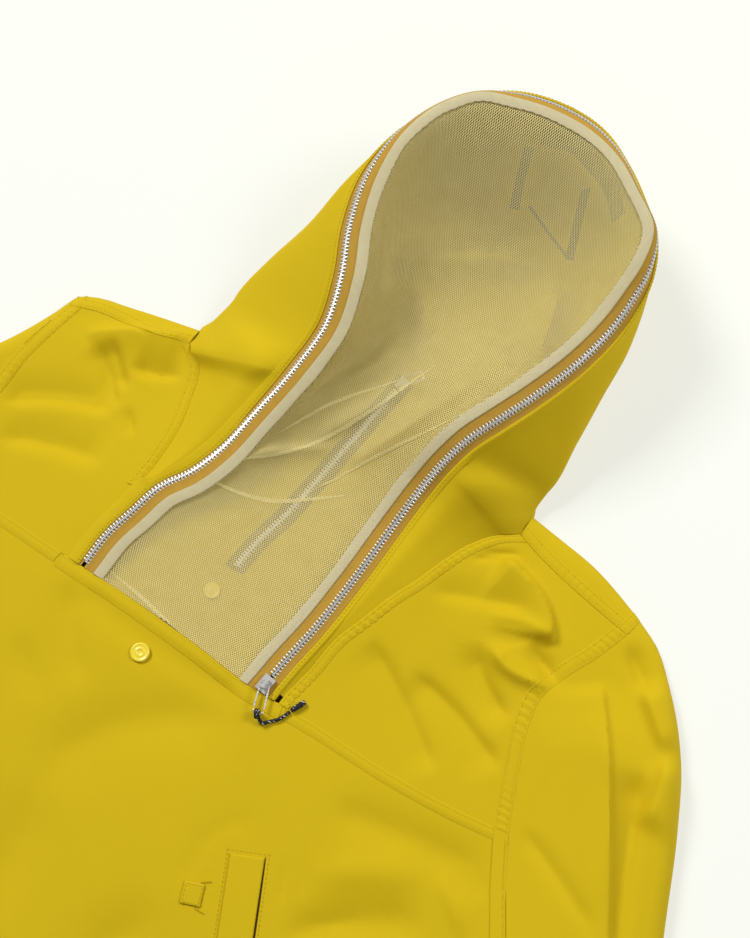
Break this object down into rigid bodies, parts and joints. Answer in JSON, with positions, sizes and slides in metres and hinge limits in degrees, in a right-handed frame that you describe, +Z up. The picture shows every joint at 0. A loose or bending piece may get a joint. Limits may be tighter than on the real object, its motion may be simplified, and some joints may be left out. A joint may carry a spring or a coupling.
{
  "type": "anorak_pullover",
  "caption": "Hooded anorak pullover laid flat, with a fine net filling the face opening, one metal zip up and round the hood rim, an inner zipped front and a corded pull",
  "frame": {"origin": "middle of the laid garment's plan, on the surface that it lies on", "axes": "+Z up off the surface, +Y from the hem to the top of the hood, +X to the right seen from above (the wearer's left)"},
  "size_m": [1.034, 1.0184, 0.1027],
  "materials": {
    "cloth": "matt mustard-yellow close-woven cloth",
    "zip_tape": "ochre-brown woven zip tape",
    "zip_metal": "silver metal zip teeth, sliders and wire pulls",
    "binding": "beige woven binding tape",
    "net": "fine beige mosquito net",
    "snap": "yellow painted snap cap",
    "cord": "black braided cord with pale flecks"
  },
  "bodies": {
    "garment": {"back_body": "cloth", "back_yoke": "cloth", "chest_welt": "cloth", "front_body": "cloth", "front_snap": "snap", "front_yoke_left": "cloth", "front_yoke_right": "cloth", "hood_left": "cloth", "hood_right": "cloth", "inner_front_base": "cloth", "inner_front_left": "cloth", "inner_front_right": "cloth", "inner_snap": "snap", "inner_zip_chain": "zip_metal", "inner_zip_slider": "zip_metal", "inner_zip_tape_left": "zip_tape", "inner_zip_tape_right": "zip_tape", "loop_tab": "cloth", "mesh_binding": "binding", "mesh_panel": "net", "sleeve_left": "cloth", "sleeve_right": "cloth", "zip_chain": "zip_metal", "zip_slider": "zip_metal", "zip_tape_inner": "zip_tape", "zip_tape_outer": "zip_tape"},
    "front_pull": {"zip_pull": "zip_metal", "pull_cord": "cord", "cord_end": "cord"},
    "inner_pull": {"inner_zip_pull": "zip_metal"}
  },
  "joints": [
    {"name": "front_pull_hinge", "type": "hinge", "parent": "garment", "child": "front_pull", "pos_m": [0.04786, 0.01301, 0.0187], "axis": [-0.9489, -0.3156, 0], "range_deg": [0, 130]},
    {"name": "inner_pull_hinge", "type": "hinge", "parent": "garment", "child": "inner_pull", "pos_m": [0.01018, 0.2671, 0.01588], "axis": [0.829, -0.5592, 0], "range_deg": [0, 35]}
  ]
}
